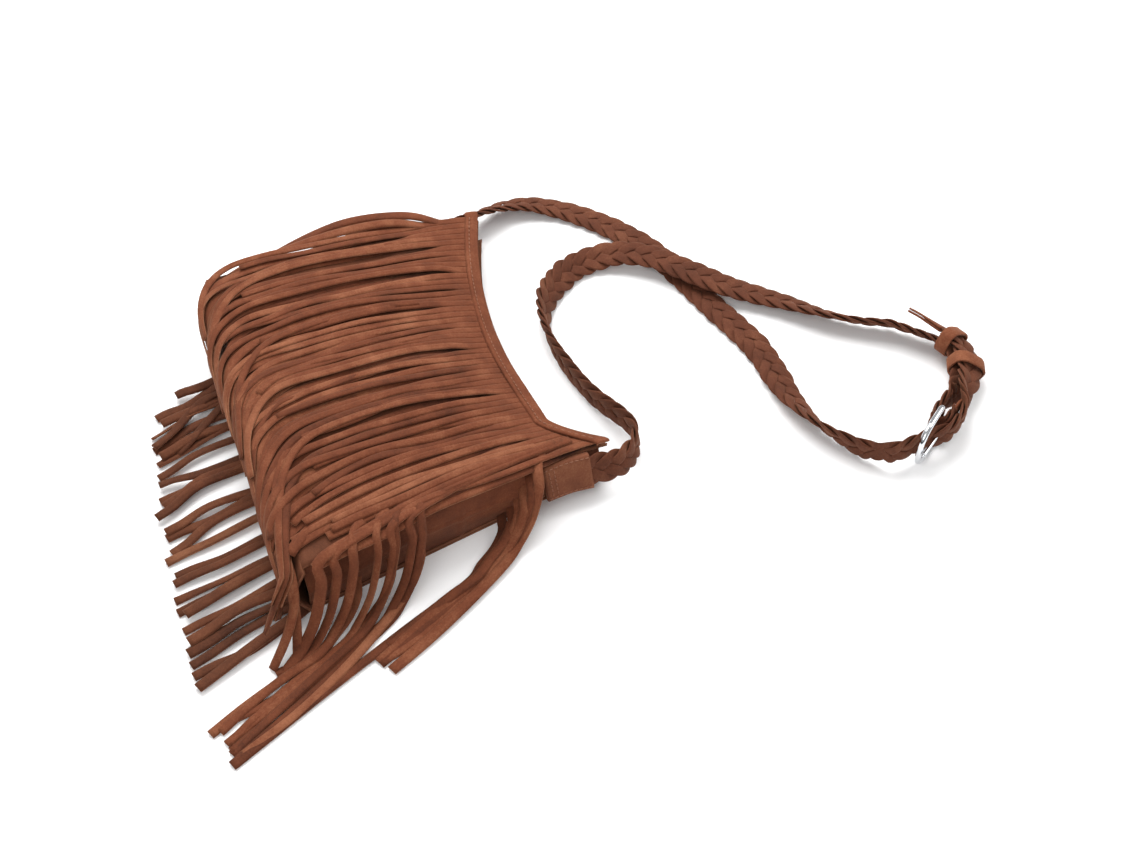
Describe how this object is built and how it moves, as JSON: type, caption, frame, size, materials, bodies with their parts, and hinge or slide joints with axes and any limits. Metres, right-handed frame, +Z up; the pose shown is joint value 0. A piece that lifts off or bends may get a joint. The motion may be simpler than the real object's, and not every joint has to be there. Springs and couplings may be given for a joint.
{
  "type": "fringed suede bag",
  "caption": "Soft flat suede shoulder bag lying on its back, long cut fringe over its front, braided strap with a round-cornered buckle and keepers.",
  "frame": {"origin": "on the floor, under the middle of the bag's and its fringe's box, strap left out", "axes": "+Z up through the bag's front, +Y from the bag's bottom towards its mouth, +X towards the near side seam"},
  "size_m": [0.342, 0.5365, 0.0552],
  "materials": {
    "suede": "napped suede",
    "suede_inner": "napped suede, darker",
    "chrome": "polished"
  },
  "bodies": {
    "bag": {"back_panel": "suede_inner", "front_panel": "suede", "side_gusset_near": "suede_inner", "side_gusset_far": "suede_inner", "bottom_gusset": "suede", "front_fringe_long": "suede", "front_fringe_short": "suede", "back_fringe": "suede_inner", "side_fringe_near": "suede", "side_fringe_far": "suede", "corner_tab_near": "suede", "corner_tab_far": "suede", "strap_near": "suede", "strap_far": "suede", "strap_point": "suede", "keeper_tip_side": "suede", "keeper_buckle_side": "suede", "buckle_frame": "chrome"},
    "prong": {"buckle_prong": "chrome"}
  },
  "joints": [
    {"name": "prong_lift", "type": "hinge", "parent": "bag", "child": "prong", "pos_m": [0.1334, 0.3306, 0.0165], "axis": [0, 0, 1], "range_deg": [0, 30]}
  ]
}
